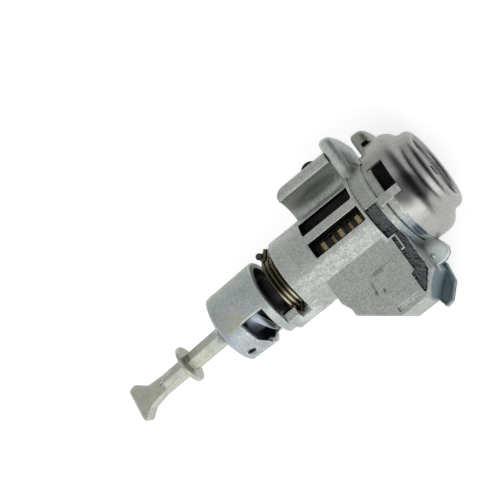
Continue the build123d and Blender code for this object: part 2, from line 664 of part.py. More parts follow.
# Wafers and their springs, turned over one by one
for i, x in enumerate(wafer_xs):
    tip_y, side_y = wafer_tip_width / 2, wafer_width / 2
    low_z = wafer_top - wafer_length
    with BuildPart() as wafer:
        with BuildSketch(Plane.YZ.offset(x - wafer_thickness / 2)):
            with BuildLine():
                Polyline(
                    (-tip_y, wafer_top - 0.5), (-tip_y + 0.4, wafer_top),
                    (tip_y - 0.4, wafer_top), (tip_y, wafer_top - 0.5),
                    (tip_y, wafer_shoulder_z), (side_y, wafer_shoulder_z), (side_y, ear_half_z),
                    (ear_pocket_y, ear_half_z), (ear_pocket_y, -ear_half_z),
                    (side_y, -ear_half_z), (side_y, -wafer_shoulder_z),
                    (tip_y, -wafer_shoulder_z), (tip_y, low_z + 0.4), (tip_y - 0.4, low_z),
                    (-tip_y + 0.4, low_z), (-tip_y, low_z + 0.4), (-tip_y, -wafer_shoulder_z),
                    (-side_y, -wafer_shoulder_z), (-side_y, wafer_shoulder_z),
                    (-tip_y, wafer_shoulder_z), close=True)
            make_face()
            Rectangle(wafer_hole_width, wafer_hole_height, mode=Mode.SUBTRACT)
        extrude(amount=wafer_thickness)
        if i % 2:
            mirror(about=Plane.XY, mode=Mode.REPLACE)
    wafer.part.label = f"wafer_{i + 1}"
    export_step(wafer.part, f"parts/wafer_{i + 1}.step")

    with BuildPart() as wafer_spring:
        spring_y = (side_y + ear_pocket_y) / 2 + 0.05
        spring_low_z = -pocket_half_z + 0.02
        length = -ear_half_z - 0.02 - spring_low_z
        with BuildLine() as coil:
            Helix(length / wafer_spring_turns, length - 2 * wafer_wire_r,
                  wafer_spring_r - wafer_wire_r,
                  center=(x, spring_y, spring_low_z + wafer_wire_r))
        with BuildSketch(Plane(coil.line @ 0, z_dir=coil.line % 0)):
            RegularPolygon(wafer_wire_r, 4)
        sweep(path=coil.line)
        if i % 2:
            mirror(about=Plane.XY, mode=Mode.REPLACE)
    wafer_spring.part.label = f"wafer_spring_{i + 1}"
    export_step(wafer_spring.part, f"parts/wafer_spring_{i + 1}.step")

# Plug face with the key slot, and the shutter behind it
with BuildPart() as plug_face:
    add(turned([
        (head_front_x, 0), (head_front_x, face_r), (face_front_x - 0.4, face_r),
        (face_front_x, face_r - 0.4), (face_front_x, 0),
    ]))
    add(slab(head_front_x - 1, face_front_x + 1, -key_thickness / 2, key_thickness / 2,
             -key_width / 2, key_width / 2), mode=Mode.SUBTRACT)
    add(slab(head_front_x - 1, face_front_x - face_sheet, -key_thickness / 2 - 0.2,
             shutter_pin_y + 0.9, -shutter_half_z - 0.2, shutter_half_z + 0.2),
        mode=Mode.SUBTRACT)
    # seats of the hinge pin
    add(Pos(shutter_pin_x, shutter_pin_y, 0) * Cylinder(
        shutter_pin_r, 2 * shutter_pin_half_z, mode=Mode.PRIVATE), mode=Mode.SUBTRACT)
plug_face.part.label = "plug_face"
export_step(plug_face.part, "parts/plug_face.step")

with BuildPart() as shutter_pin:
    with Locations((shutter_pin_x, shutter_pin_y, 0)):
        Cylinder(shutter_pin_r, 2 * shutter_pin_half_z)
shutter_pin.part.label = "shutter_pin"
export_step(shutter_pin.part, "parts/shutter_pin.step")

with BuildPart() as shutter:
    with BuildSketch(Plane.XY.offset(-shutter_half_z)):
        with Locations((shutter_pin_x, shutter_pin_y)):
            Circle(shutter_knuckle_r)
        flap_rear_x = shutter_pin_x + shutter_knuckle_r - shutter_thickness
        flap_end_y = -key_thickness / 2 - 0.1
        with Locations((flap_rear_x + shutter_thickness / 2, (flap_end_y + shutter_pin_y) / 2)):
            Rectangle(shutter_thickness, shutter_pin_y - flap_end_y)
        with Locations((shutter_pin_x, shutter_pin_y)):
            Circle(shutter_pin_r + 0.05, mode=Mode.SUBTRACT)
    extrude(amount=2 * shutter_half_z)
    # room for the little spring in the middle of the knuckle
    add(slab(shutter_pin_x - 1, shutter_pin_x + 1, shutter_pin_y - 1, shutter_pin_y + 1,
             -shutter_spring_half_z, shutter_spring_half_z), mode=Mode.SUBTRACT)
shutter.part.label = "shutter"
export_step(shutter.part, "parts/shutter.step")

# Tail lever: cup, hub, rod, disc and flat end in one casting
with BuildPart() as tail_lever:
    with BuildSketch(Plane.XY) as cup_profile:
        with BuildLine():
            Polyline((lever_front_x, lever_inner_r), (lever_front_x, lever_r_front - 0.3),
                     (lever_front_x - 0.3, lever_r_front), (lever_rear_x + 2.4, lever_r_rear))
            ThreePointArc((lever_rear_x + 2.4, lever_r_rear), (lever_rear_x + 1.3, 7.9),
                          (lever_rear_x, 3.4))
            Polyline((lever_rear_x, 3.4), (lever_rear_x, 0), (lever_hub_x, 0),
                     (lever_hub_x, lever_inner_r), (lever_front_x, lever_inner_r))
        make_face()
    revolve(axis=Axis.X)
    # sloping face that the roll pin goes in by
    (top_y, top_z), (low_y, low_z) = lever_facet_top, lever_facet_low
    slope = (top_y - low_y) / (top_z - low_z)
    add(section([(top_y + slope * 3, top_z + 3), (low_y - slope * 3, low_z - 3),
                 (-lever_r_front - 3, low_z - 3), (-lever_r_front - 3, top_z + 3)],
                lever_rear_x - 1, lever_hub_x - 0.8), mode=Mode.SUBTRACT)
    # window, open to the -Y side
    rear_x, front_x = lever_window_rear_x, lever_window_front_x
    add(plan([(rear_x, -3.0), (front_x, -3.0), (front_x, -lever_r_front - 1),
              (lever_side_front_x + 0.8, -lever_r_front - 1), (lever_side_front_x + 0.3, -9.6),
              (rear_x + 0.5, -8.2)], 1.5, lever_r_front + 1), mode=Mode.SUBTRACT)
    add(slab(lever_side_front_x + 0.8, front_x, -lever_r_front - 1, -4, -7.6, 2),
        mode=Mode.SUBTRACT)
    # bore with two flats for the plug's tail
    add(turned([(tail_end_x - 0.2, 0), (tail_end_x - 0.2, tail_r + lever_gap),
                (lever_hub_x + 1, tail_r + lever_gap), (lever_hub_x + 1, 0)])
        & slab(tail_end_x - 1, lever_hub_x + 1, -plug_r, plug_r,
               -tail_flat_z - lever_gap, tail_flat_z + lever_gap), mode=Mode.SUBTRACT)
    add(along_y(roll_pin_x, roll_pin_z, roll_pin_r, 2 * lever_r_front), mode=Mode.SUBTRACT)
    # rod with six sides
    with BuildSketch(Plane.YZ.offset(lever_rear_x + 1)):
        RegularPolygon(rod_r, 6, rotation=30)
    with BuildSketch(Plane.YZ.offset(lever_rear_x - rod_length)):
        with Locations((-rod_lean, 0)):
            RegularPolygon(rod_r * 0.93, 6, rotation=30)
    loft()
    add(turned([(lever_rear_x + 1, 0), (lever_rear_x + 1, 4.0), (lever_rear_x, 3.7),
                (lever_rear_x - 0.7, 2.9), (lever_rear_x - 2.4, 2.5), (lever_rear_x - 2.4, 0)]))
    disc_half = disc_thickness / 2
    disc_y = -rod_lean * (lever_rear_x - disc_x) / rod_length
    add(Pos(0, disc_y, 0) * turned([
        (disc_x - disc_half, 0), (disc_x - disc_half, disc_r - 0.2),
        (disc_x - disc_half + 0.2, disc_r), (disc_x + disc_half - 0.2, disc_r),
        (disc_x + disc_half, disc_r - 0.2), (disc_x + disc_half, 0)]))
    # flat end, wider at one side
    end_x = disc_x - disc_half - spade_length
    with BuildPart(mode=Mode.PRIVATE) as spade:
        with BuildSketch(Plane.XY.offset(-spade_thickness / 2)):
            with BuildLine():
                FilletPolyline(
                    (end_x + 15.5, 1.4), (end_x + 6.3, 1.9), (end_x + 3.4, 4.4),
                    (end_x + 1.1, 4.0), (end_x, -5.2), (end_x + 1.4, -6.2),
                    (end_x + 4.5, -3.9), (end_x + 9.0, -3.15), (end_x + 15.5, -2.85),
                    radius=(2.5, 1.2, 1.0, 1.2, 1.0, 2.0, 6.0))
                Line((end_x + 15.5, -2.85), (end_x + 15.5, 1.4))
            make_face()
        extrude(amount=spade_thickness)
        rims = spade.edges().group_by(Axis.Z)
        chamfer([e for e in rims[0] + rims[-1] if e.center().X < end_x + 15.4], spade_edge)
        # shallow groove along the top, and a nick near the end
        add(slab(end_x + 9.8, end_x + 15.6, -0.45, -0.05, spade_thickness / 2 - 0.25,
                 spade_thickness), mode=Mode.SUBTRACT)
        add(slab(end_x + 2.7, end_x + 4.5, -5.2, -4.6, spade_thickness / 2 - 0.3,
                 spade_thickness), mode=Mode.SUBTRACT)
    add(spade.part)
tail_lever.part.label = "tail_lever"
export_step(tail_lever.part, "parts/tail_lever.step")

# Roll pin that holds the lever on the plug's tail
with BuildPart() as roll_pin:
    with BuildSketch(Plane.XZ.offset(roll_pin_half_length)):
        with Locations((roll_pin_x, roll_pin_z)):
            Circle(roll_pin_r)
            Circle(roll_pin_r - roll_pin_wall, mode=Mode.SUBTRACT)
        with Locations((roll_pin_x, roll_pin_z + roll_pin_r)):
            Rectangle(0.4, 2 * roll_pin_r, mode=Mode.SUBTRACT)
    extrude(amount=-2 * roll_pin_half_length)
roll_pin.part.label = "roll_pin"
export_step(roll_pin.part, "parts/roll_pin.step")

# Little spring round the shutter's pin
with BuildPart() as shutter_spring:
    coil_height = 2 * shutter_spring_half_z - 0.5
    with BuildLine() as flap_coil:
        Helix(coil_height / 6, coil_height, shutter_pin_r + 0.2,
              center=(shutter_pin_x, shutter_pin_y, -coil_height / 2))
    with BuildSketch(Plane(flap_coil.line @ 0, z_dir=flap_coil.line % 0)):
        RegularPolygon(0.12, 4)
    sweep(path=flap_coil.line)
shutter_spring.part.label = "shutter_spring"
export_step(shutter_spring.part, "parts/shutter_spring.step")

# Return spring: the coil, and a leg at each end that stands out to its stop
with BuildPart() as return_spring:
    turns = spring_whole_turns + (spring_low_leg_angle - spring_high_leg_angle) / 360
    with BuildLine() as return_coil:
        Helix(spring_pitch, spring_pitch * turns, spring_r)
    with BuildSketch(Plane(return_coil.line @ 0, z_dir=return_coil.line % 0)):
        Circle(spring_wire / 2)
    sweep(path=return_coil.line)
    for end, height, slant in ((0, 0, spring_high_leg_slant),
                               (360 * turns, spring_pitch * turns, spring_low_leg_slant)):
        lean = 90 - degrees(asin(slant / spring_leg_reach))
        with Locations(Location((0, 0, height), (0, 0, end))):
            with Locations(Location((spring_r, 0, 0))):
                Sphere(spring_wire / 2)
            with Locations(Location((spring_r, 0, 0), (0, lean, 0))):
                Cylinder(spring_wire / 2, spring_leg_reach,
                         align=(Align.CENTER, Align.CENTER, Align.MIN))
# the helix winds about Z from +X: laid along the lock axis, its start at the upper leg
lay_down = Plane(origin=(spring_x, 0, 0), z_dir=(1, 0, 0), x_dir=(
    0, cos(radians(spring_high_leg_angle)), sin(radians(spring_high_leg_angle))))
return_spring.part.locate(lay_down.location)
return_spring.part.label = "return_spring"
export_step(return_spring.part, "parts/return_spring.step")
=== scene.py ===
import json
from math import cos, radians, sin, tan

import bpy
from mathutils import Matrix, Vector, noise as solid_noise


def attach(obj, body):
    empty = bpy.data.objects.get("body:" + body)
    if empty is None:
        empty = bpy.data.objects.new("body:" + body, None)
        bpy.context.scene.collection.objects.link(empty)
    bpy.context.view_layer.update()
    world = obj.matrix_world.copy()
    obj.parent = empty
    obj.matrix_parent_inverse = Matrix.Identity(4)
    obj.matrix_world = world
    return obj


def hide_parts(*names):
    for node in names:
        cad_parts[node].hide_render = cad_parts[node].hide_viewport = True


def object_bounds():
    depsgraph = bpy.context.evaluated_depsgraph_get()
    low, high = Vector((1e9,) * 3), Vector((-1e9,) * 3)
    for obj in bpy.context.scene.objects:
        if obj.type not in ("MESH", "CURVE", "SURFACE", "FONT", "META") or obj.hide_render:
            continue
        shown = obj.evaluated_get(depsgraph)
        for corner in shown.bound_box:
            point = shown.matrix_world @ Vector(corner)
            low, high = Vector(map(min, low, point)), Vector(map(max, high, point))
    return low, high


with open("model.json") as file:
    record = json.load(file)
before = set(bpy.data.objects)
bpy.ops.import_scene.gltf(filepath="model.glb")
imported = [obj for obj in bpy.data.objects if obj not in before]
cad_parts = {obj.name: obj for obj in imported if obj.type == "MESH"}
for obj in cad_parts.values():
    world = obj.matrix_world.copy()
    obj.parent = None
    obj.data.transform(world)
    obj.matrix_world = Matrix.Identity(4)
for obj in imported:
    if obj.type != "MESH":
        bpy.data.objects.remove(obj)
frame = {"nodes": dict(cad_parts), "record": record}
cad_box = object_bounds()

MM = 0.001

# View, as the photograph shows the lock
AIM_X = -0.0434             # the camera looks at this point of the lock axis
LEAN_FORWARD = 14.5         # degrees the view leans towards the cap
LEAN_SIDE = 13.0            # degrees it leans towards the block
ROLL = 35.5                 # degrees the axis climbs to the right in the picture
DISTANCE = 0.43             # metres from that point
LENS = 116.8
SHIFT_X = -0.0988           # the lock lies right of the middle and a little low in the picture
SHIFT_Y = 0.0484

# Detail of zinc and steel: noise scales per metre, depth and reach in metres
ZINC_GRAIN = 2400
ZINC_SKIN = 3600
ZINC_SKIN_DEPTH = 0.00003
ZINC_CLOUDS = 160
ZINC_SHEEN = 700            # patches of more and less gloss
ZINC_HOLLOW = 0.0025
STEEL_DEPTH = 0.000006
STEEL_HOLLOW = 0.002
# colour of the edges, partly worn and partly painted highlight
ZINC_EDGE = (0.84, 0.86, 0.83)
# colour of the painted shade in the zinc's hollows
ZINC_HOLLOW_SHADE = (0.05, 0.055, 0.05)

# Foam, in metres
FOAM_VOXEL = 0.00022
FOAM_CELLS = 1600           # granules per metre
FOAM_SINK = 0.00008         # all of the skin lies this much inside the pad's solid
FOAM_DIP = 0.0004           # and its hollows this much deeper

# Face cap, in millimetres. The line is the middle of its sheet, as (x, r) corners
CAP_LINE = [(-10.0, 15.0), (-2.7, 15.0), (-0.35, 11.65), (2.75, 11.65), (2.75, 9.25), (1.2, 9.25)]
CAP_BENDS = (3.9, 2.4, 1.5, 0.85)
CAP_SHEET = 0.7
CAP_REAR_X = -8.0           # only the tongue reaches further back
CAP_NOTCH_X = -5.3
CAP_NOTCH = (62.9, 102.2)   # degrees from +Y to +Z
CAP_TONGUE = (44.2, 62.9)
CAP_STEP = 3                # degrees between two columns of faces
CAP_BEND_STEP = 6           # degrees between two rows in a bend
CAP_SHARP = 35              # degrees from which an edge stays sharp

# Floor and room
FLOOR_REACH = 40.0          # metres each way, so that low views end on it
FLOOR_GREY = (0.8, 0.8, 0.8)
FLOOR_GLOW = 0.6            # lifts the floor to white for the camera and in reflections
ROOM_WHITE = (1.0, 1.0, 1.0)
ROOM_DARK = (0.04, 0.045, 0.05)
ROOM_LEVEL = 0.75
BLOCK_SIDE_LEVEL = 1.0


def add_object(name, data):
    """A new object in the scene."""
    obj = bpy.data.objects.new(name, data)
    bpy.context.collection.objects.link(obj)
    return obj


def make(tree, kind, inputs=None, **settings):
    """Add a shader node; inputs gives its sockets a value or a link."""
    node = tree.nodes.new("ShaderNode" + kind)
    for setting, value in settings.items():
        setattr(node, setting, value)
    for socket, value in (inputs or {}).items():
        if isinstance(value, bpy.types.NodeSocket):
            tree.links.new(value, node.inputs[socket])
        else:
            node.inputs[socket].default_value = value
    return node


def new_material(name, metallic, roughness):
    """A material with its node tree and its shader."""
    mat = bpy.data.materials.new(name)
    mat.use_nodes = True
    shader = mat.node_tree.nodes["Principled BSDF"]
    shader.inputs["Metallic"].default_value = metallic
    shader.inputs["Roughness"].default_value = roughness
    return mat, mat.node_tree, shader


def place(tree):
    """Where a point lies on its piece, in metres."""
    return make(tree, "TexCoord").outputs["Object"]


def along(tree, axis):
    """The X, Y or Z of that point."""
    return make(tree, "SeparateXYZ", {"Vector": place(tree)}).outputs[axis]


def noise(tree, scale, detail, roughness=0.6, stretch=(1, 1, 1)):
    """Noise on the piece, from 0 to 1; a small stretch along an axis draws it out that way."""
    vector = make(tree, "Mapping", {"Vector": place(tree), "Scale": stretch}).outputs["Vector"]
    return make(tree, "TexNoise", {"Vector": vector, "Scale": scale, "Detail": detail,
                                   "Roughness": roughness}).outputs["Fac"]


def fade(tree, value, start, end, low=0.0, high=1.0):
    """low up to start, high from end on, smooth between."""
    return make(tree, "MapRange", {"Value": value, "From Min": start, "From Max": end,
                                   "To Min": low, "To Max": high},
                interpolation_type="SMOOTHSTEP").outputs["Result"]


def math(tree, operation, a, b):
    """Two values put together by a math node."""
    return make(tree, "Math", {0: a, 1: b}, operation=operation).outputs["Value"]


def ramp(tree, fac, stops):
    """Colour ramp from (position, colour) stops."""
    node = make(tree, "ValToRGB", {"Fac": fac})
    elements = node.color_ramp.elements
    while len(elements) < len(stops):
        elements.new(0.5)
    for element, (position, color) in zip(elements, stops):
        element.position = position
        element.color = (*color, 1)
    return node.outputs["Color"]


def over(tree, color, top, factor, blend="MIX"):
    """Lay the colour top over color, as far as factor says."""
    inputs = {0: factor, 6: color, 7: (*top, 1)}
    return make(tree, "Mix", inputs, data_type="RGBA", blend_type=blend).outputs[2]


def sky(tree, reach):
    """1 on open faces, down to 0 in corners and hollows of about the given reach."""
    return make(tree, "AmbientOcclusion", {"Distance": reach}, samples=8).outputs["AO"]


def rounded(tree, radius):
    """Normal that turns softly over the edges, within the radius."""
    return make(tree, "Bevel", {"Radius": radius}, samples=6).outputs["Normal"]


def edges(tree, normal):
    """1 on edges, 0 on faces, by the cosine between the softened normal and the face's own."""
    flat = make(tree, "NewGeometry").outputs["Normal"]
    same = make(tree, "VectorMath", {0: normal, 1: flat}, operation="DOT_PRODUCT").outputs["Value"]
    return fade(tree, same, 0.995, 0.9)


def relief(tree, shader, height, distance, normal=None):
    """Bump the shader by height, as deep as distance, over an already softened normal."""
    inputs = {"Height": height, "Distance": distance, "Strength": 1.0}
    if normal:
        inputs["Normal"] = normal
    bumped = make(tree, "Bump", inputs).outputs["Normal"]
    tree.links.new(bumped, shader.inputs["Normal"])


def with_stains_and_painted_light(tree, color, stains_and_painted_light):
    """Lay stains and painted light and shade over the colour, each a (colour, strength, mask of the
    tree).
    """
    for mark_color, strength, mask in stains_and_painted_light:
        color = over(tree, color, mark_color, math(tree, "MULTIPLY", mask(tree), strength))
    return color


def zinc(name, low, high, roughness, stains_and_painted_light=(), edge=0.25, clouds=(0.90, 0.93, 0.94)):
    """Die-cast zinc: mottled and fine grained, with painted shade in its hollows and its edges
    lightened, partly as wear and partly as painted highlight.

    low and high are the colours of its grain, clouds tints its cloudy patches, and edge is how far
    the lightened edges, partly wear and partly painted highlight, reach from an edge, in
    millimetres."""
    mat, tree, shader = new_material(name, 0.75, roughness)
    color = ramp(tree, noise(tree, ZINC_GRAIN, 6, 0.8), [(0.37, low), (0.63, high)])
    cloudy = fade(tree, noise(tree, ZINC_CLOUDS, 5), 0.42, 0.6)
    color = over(tree, color, clouds, cloudy, "MULTIPLY")
    soft = rounded(tree, edge * MM)
    color = with_stains_and_painted_light(tree, color, stains_and_painted_light)
    open_sky = sky(tree, ZINC_HOLLOW)
    # edges lightened, partly as wear and partly as painted highlight
    edge_wear_and_highlight = math(tree, "MULTIPLY", edges(tree, soft), fade(tree, open_sky, 0.55, 0.8, 0.0, 0.8))
    color = over(tree, color, ZINC_EDGE, edge_wear_and_highlight)
    # painted shade: darker in hollows and corners, where the occlusion finds less open sky
    hollow_shade = fade(tree, open_sky, 0.55, 0.1, 0.0, 0.75)
    color = over(tree, color, ZINC_HOLLOW_SHADE, hollow_shade)
    tree.links.new(color, shader.inputs["Base Color"])
    rough = fade(tree, noise(tree, ZINC_SHEEN, 5), 0.3, 0.7, roughness - 0.1, roughness + 0.1)
    tree.links.new(rough, shader.inputs["Roughness"])
    relief(tree, shader, noise(tree, ZINC_SKIN, 3), ZINC_SKIN_DEPTH, soft)
    return mat


def steel(name, color, roughness, stretch=(1, 1, 1), grain=2500, stains_and_painted_light=(), contrast=0.15):
    """Bare or oiled metal with fine lines or grain, by the stretch of its noise, and painted shade
    in its hollows.

    contrast is how far the lines leave the colour, darker and brighter."""
    mat, tree, shader = new_material(name, 1.0, roughness)
    lines = noise(tree, grain, 4, 0.7, stretch)
    dark = [(1 - contrast) * c for c in color]
    bright = [(1 + contrast) * c for c in color]
    shade = ramp(tree, lines, [(0.3, dark), (0.7, bright)])
    shade = with_stains_and_painted_light(tree, shade, stains_and_painted_light)
    # painted shade: darker in hollows and corners
    hollow_shade = fade(tree, sky(tree, STEEL_HOLLOW), 0.5, 0.1, 0.0, 0.8)
    shade = over(tree, shade, [0.1 * c for c in color], hollow_shade)
    tree.links.new(shade, shader.inputs["Base Color"])
    relief(tree, shader, lines, STEEL_DEPTH)
    return mat


def soft_stuff(name, low, high, roughness, grain, depth):
    """Rubber or foam: matt, with its own grain."""
    mat, tree, shader = new_material(name, 0.0, roughness)
    shader.inputs["Specular IOR Level"].default_value = 0.15
    shade = ramp(tree, noise(tree, grain, 3, 0.7), [(0.35, low), (0.65, high)])
    tree.links.new(shade, shader.inputs["Base Color"])
    relief(tree, shader, noise(tree, 1.7 * grain, 3), depth)
    return mat


def between(axis, start, end, soft):
    """Mask between two stations along an axis, with borders soft to each side, in millimetres."""
    def mask(tree):
        value = along(tree, axis)
        enter = fade(tree, value, (start - soft) * MM, (start + soft) * MM)
        leave = fade(tree, value, (end + soft) * MM, (end - soft) * MM)
        return math(tree, "MULTIPLY", enter, leave)
    return mask


def blot(center, radii, soft, turn=0.0):
    """Mask inside an ellipsoid, in millimetres, turned about Z by degrees.

    It is full out to the share soft of the radii, and fades to nothing at the surface."""
    def mask(tree):
        mapped = make(tree, "Mapping", {"Vector": place(tree), "Location": [c * MM for c in center],
                                        "Rotation": (0, 0, radians(turn)),
                                        "Scale": [r * MM for r in radii]},
                      vector_type="TEXTURE").outputs["Vector"]
        distance = make(tree, "VectorMath", {0: mapped}, operation="LENGTH").outputs["Value"]
        return fade(tree, distance, 1.0, soft)
    return mask


def inside(radius, start, end):
    """Mask nearer to the lock axis than radius, between two stations, in millimetres."""
    def mask(tree):
        flat = make(tree, "VectorMath", {0: place(tree), 1: (0, 1, 1)}, operation="MULTIPLY")
        reach = make(tree, "VectorMath", {0: flat.outputs[0]}, operation="LENGTH").outputs["Value"]
        near = fade(tree, reach, (radius + 0.15) * MM, (radius - 0.15) * MM)
        return math(tree, "MULTIPLY", near, between("X", start, end, 0.3)(tree))
    return mask


def streaks(tree):
    """Mask of fine short lines along the lock axis."""
    return fade(tree, noise(tree, 1500, 4, 0.6, (0.12, 1, 1)), 0.52, 0.66)


def specks(scale, start, end):
    """Mask of cloudy patches, by where its noise starts to show and where it is full."""
    return lambda tree: fade(tree, noise(tree, scale, 5), start, end)


def both(first, second):
    """Mask where two masks meet."""
    return lambda tree: math(tree, "MULTIPLY", first(tree), second(tree))


BLUE_BLACK = (0.07, 0.14, 0.175)
DEEP_BLUE = (0.03, 0.055, 0.075)
NIGHT_BLUE = (0.05, 0.075, 0.10)
BLUE = (0.24, 0.31, 0.35)
DULL_BLUE = (0.25, 0.31, 0.40)
SLATE_BLUE = (0.28, 0.34, 0.40)
PALE_BLUE = (0.36, 0.43, 0.50)
BARE_BLUE = (0.38, 0.46, 0.56)
VIOLET = (0.27, 0.30, 0.42)
GREEN_GREY = (0.24, 0.27, 0.20)
MOSS = (0.34, 0.36, 0.26)
OLIVE = (0.30, 0.29, 0.19)
YELLOW = (0.45, 0.455, 0.32)
SAND = (0.50, 0.48, 0.36)
BRIGHT_SAND = (0.50, 0.46, 0.33)
PALE = (0.88, 0.95, 0.93)
DIRT = (0.10, 0.105, 0.09)
SHADE_BLACK = (0.012, 0.012, 0.010)
SCRATCH_AND_SHADE = (0.06, 0.065, 0.055)
RUBBED = (0.22, 0.21, 0.20)
REFLECTION_DARK = (0.10, 0.10, 0.10)
REFLECTION_DEEP = (0.08, 0.08, 0.08)
DARK_GREY = (0.03, 0.03, 0.03)
NEAR_BLACK = (0.02, 0.02, 0.025)

# Each mark is a stain, painted shade or painted light: its colour, its strength and its mask, laid
# one over the other in this order
# painted shade on the block's front, partly its blue tint
BLOCK_FRONT = both(blot((-13.0, -26.5, -3.5), (6.5, 8.5, 12.0), 0.8), between("Z", -20, 7.4, 0.3))
COLLAR_MIDDLE = both(between("X", -16.9, -8.4, 0.4), between("Y", -6, 12.6, 0.6))
THICK_WING = both(between("X", -17.6, -12.4, 0.3), between("Y", 12.6, 30, 0.6))
INNER_WALLS = both(inside(11.05, -34.6, -17.3), between("Y", -3.2, 12, 0.2))
BLOCK_SLOT = both(blot((-22.0, -25.4, 7.5), (3.6, 1.0, 0.8), 0.6), specks(2000, 0.40, 0.56))
HOUSING_STAINS_AND_PAINTED_LIGHT = [
    # painted shade on the block's front, partly its blue tint
    (BLUE_BLACK, 0.80, BLOCK_FRONT),
    (BLUE, 0.75, blot((-10.0, -12.5, 7.0), (4.5, 7.5, 9.0), 0.5)),           # collar by the block: painted shade, partly its blue tint
    # painted shade on the collar under the cap's skirt and beneath it
    (DEEP_BLUE, 0.90, blot((-8.9, -11.9, 6.6), (2.0, 3.0, 4.5), 0.5)),
    (GREEN_GREY, 0.60, blot((-12.0, -14.6, 3.5), (3.0, 2.2, 5.0), 0.5)),
    # painted shade on the middle of the collar
    (GREEN_GREY, 0.36, COLLAR_MIDDLE),
    # painted light on the thick wing
    (PALE, 0.22, THICK_WING),
    (PALE, 0.35, blot((-46.5, -10.8, 3.0), (4.5, 1.4, 6.0), 0.5)),           # stop arm
    (PALE, 0.95, blot((-11.4, -18.9, -0.2), (6.0, 4.4, 2.6), 0.4)),          # ear by the block: painted light, lifting it out of the shade of cap and block
    (GREEN_GREY, 0.60, blot((-9.5, 15.0, 5.0), (5.0, 13.0, 12.0), 0.5)),     # front wing: painted shade
    # painted shade: near black on the window walls and in the bore
    (SHADE_BLACK, 0.97, INNER_WALLS),
    (SHADE_BLACK, 0.90, inside(8.4, -60, -10)),
    # painted highlight round the slot in the block, with dark specks
    (PALE, 0.45, BLOCK_SLOT),
    (DIRT, 0.45, blot((-22.0, -13.9, 8.0), (4.2, 0.18, 0.5), 0.4)),          # pressed lines
    (DIRT, 0.30, blot((-23.4, -21.9, 8.0), (5.4, 0.16, 0.5), 0.3)),
    (DIRT, 0.30, blot((-18.2, -14.4, 8.0), (0.16, 0.7, 0.5), 0.3)),
    (SCRATCH_AND_SHADE, 0.85, blot((-26.0, 14.6, 1.5), (14.0, 2.6, 6.0), 0.3)),        # arm's channel: painted shade
    (SCRATCH_AND_SHADE, 0.60, blot((-27.3, -16.6, 8.0), (0.35, 2.2, 0.6), 0.3, -7)),   # block's scratches
    (SCRATCH_AND_SHADE, 0.75, blot((-27.6, -18.4, 8.0), (0.6, 1.2, 0.6), 0.2, -20)),
    (SCRATCH_AND_SHADE, 0.80, blot((-25.5, -19.1, 8.0), (0.5, 1.0, 0.6), 0.2, -12)),
    (DIRT, 0.45, blot((-24.2, -14.3, 8.0), (2.6, 1.0, 0.6), 0.3)),
    (DIRT, 0.50, blot((-13.6, 2.2, 12.4), (0.35, 0.35, 1.0), 0.2)),          # pit in the collar
]

LEVER_ROD = between("X", -103, -72.5, 1.5)
DISC_SHADE = both(between("X", -83.6, -78.6, 0.5), between("Y", 0.6, 9.0, 1.6))
# painted shade along the sleeve's upper side
SLEEVE_SIDE = both(between("Y", 7.0, 13, 1.8), between("X", -71, -50, 2.0))
LEVER_STAINS_AND_SHADE = [
    (YELLOW, 0.60, LEVER_ROD),                                               # rod and flat end
    (OLIVE, 0.45, both(LEVER_ROD, specks(420, 0.56, 0.66))),
    (GREEN_GREY, 0.50, DISC_SHADE),
    (PALE_BLUE, 0.50, blot((-69.5, -10.0, 3.0), (9.0, 4.0, 6.0), 0.3)),
    (SAND, 0.45, blot((-62.0, -1.0, 10.0), (5.0, 3.5, 3.0), 0.1)),
    (MOSS, 0.45, specks(230, 0.54, 0.66)),
    (DULL_BLUE, 0.40, specks(330, 0.48, 0.30)),
    # painted shade along the sleeve's upper side
    (GREEN_GREY, 0.70, SLEEVE_SIDE),
    (VIOLET, 0.45, blot((-67.5, -4.0, 9.0), (3.0, 3.0, 4.0), 0.1)),
    (VIOLET, 0.45, blot((-60.0, -10.0, 3.0), (4.0, 2.5, 3.0), 0.1)),
    (NIGHT_BLUE, 0.85, inside(9.0, -67.8, -56.5)),                           # painted shade inside the sleeve
    # painted shade on the sleeve's lower side, partly its blue tint
    (SLATE_BLUE, 0.60, blot((-68.6, -5.4, 8.0), (4.2, 3.8, 6.0), 0.3)),
    (SCRATCH_AND_SHADE, 0.85, blot((-65.4, -9.1, 3.0), (1.1, 0.9, 4.0), 0.7)),         # round the pin
    # painted shade in the lever behind the sleeve
    (SHADE_BLACK, 0.95, inside(9.05, -56.5, -50)),
    (SCRATCH_AND_SHADE, 0.80, blot((-98.5, -4.6, 1.8), (0.9, 0.45, 1.2), 0.2, 25)),    # nick in the flat end
]
PLUG_SHADE_AND_TONE = [
    # painted shade on the plug where it lies deep in the housing
    (SHADE_BLACK, 0.97, between("X", -57, -7, 0.7)),
    (BARE_BLUE, 0.60, between("X", -66, -57, 0.7)),                          # tail, bare
]
CAP_STREAKS_AND_REFLECTIONS = [
    (RUBBED, 0.45, streaks),                                                 # rubbed along the axis
    (REFLECTION_DARK, 0.28, between("Y", 3.0, 20, 6.0)),                               # painted reflection, darker towards +Y
    # painted reflection: the dark bands of the cap's shoulder and rim
    (NEAR_BLACK, 0.78, blot((-2.2, -3.9, 13.5), (3.1, 6.2, 6.0), 0.5, 14)),
    (REFLECTION_DEEP, 0.85, blot((-5.6, -3.4, 14.5), (4.4, 6.4, 4.0), 0.3)),
    (DARK_GREY, 0.55, blot((2.6, 0.5, 11.6), (1.2, 6.5, 3.0), 0.3)),
]
SPRING_HIGHLIGHT = [(BRIGHT_SAND, 0.85, between("Y", -6.6, -3.4, 2.2))]         # painted highlight along the wires

